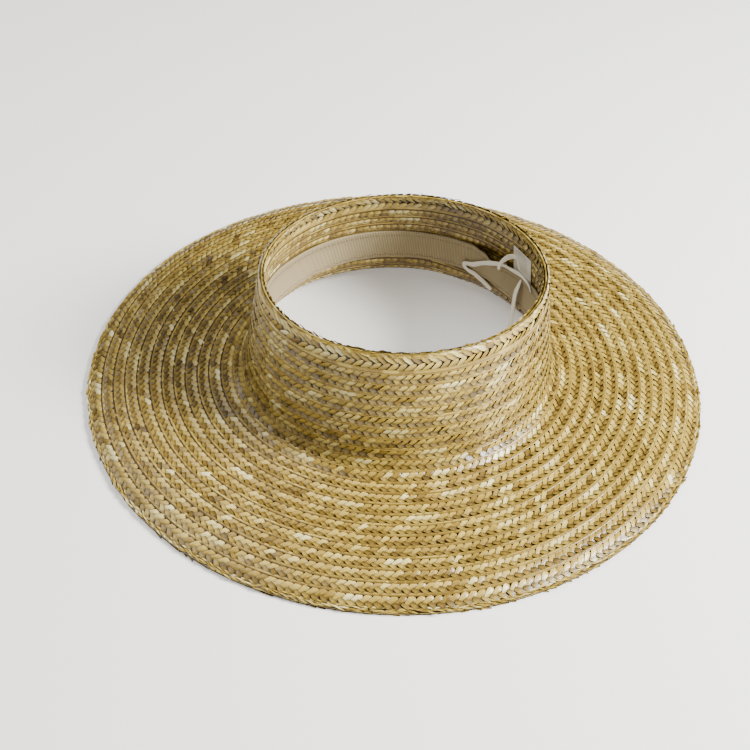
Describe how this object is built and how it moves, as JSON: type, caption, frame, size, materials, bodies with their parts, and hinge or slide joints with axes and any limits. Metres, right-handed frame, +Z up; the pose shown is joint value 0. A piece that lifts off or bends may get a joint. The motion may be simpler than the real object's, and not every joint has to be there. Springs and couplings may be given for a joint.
{
  "type": "open-crown straw sun hat",
  "caption": "Wide-brimmed woven straw sun hat whose oval crown is open at the top, with a ribbed cloth sweatband, a small bare tag and a thin drawstring ribbon inside.",
  "frame": {"origin": "on the surface that the hat rests on, below the middle of the brim", "axes": "+Z up through the open crown; -Y towards the hat's front and +Y towards its back, where the tag and the ribbon are; +X to the side"},
  "size_m": [0.396, 0.4242, 0.0925],
  "materials": {
    "straw": "glossy plaited straw, golden tan with cream highlights",
    "band_cloth": "matt ribbed cream cloth",
    "label_cloth": "matt off-white woven tag, bare",
    "ribbon_cloth": "thin satin ribbon, off-white"
  },
  "bodies": {
    "root": {"crown": "straw", "brim": "straw", "sweatband": "band_cloth", "label": "label_cloth", "drawstring_loop": "ribbon_cloth", "drawstring_bow": "ribbon_cloth", "drawstring_tail": "ribbon_cloth"}
  },
  "joints": []
}
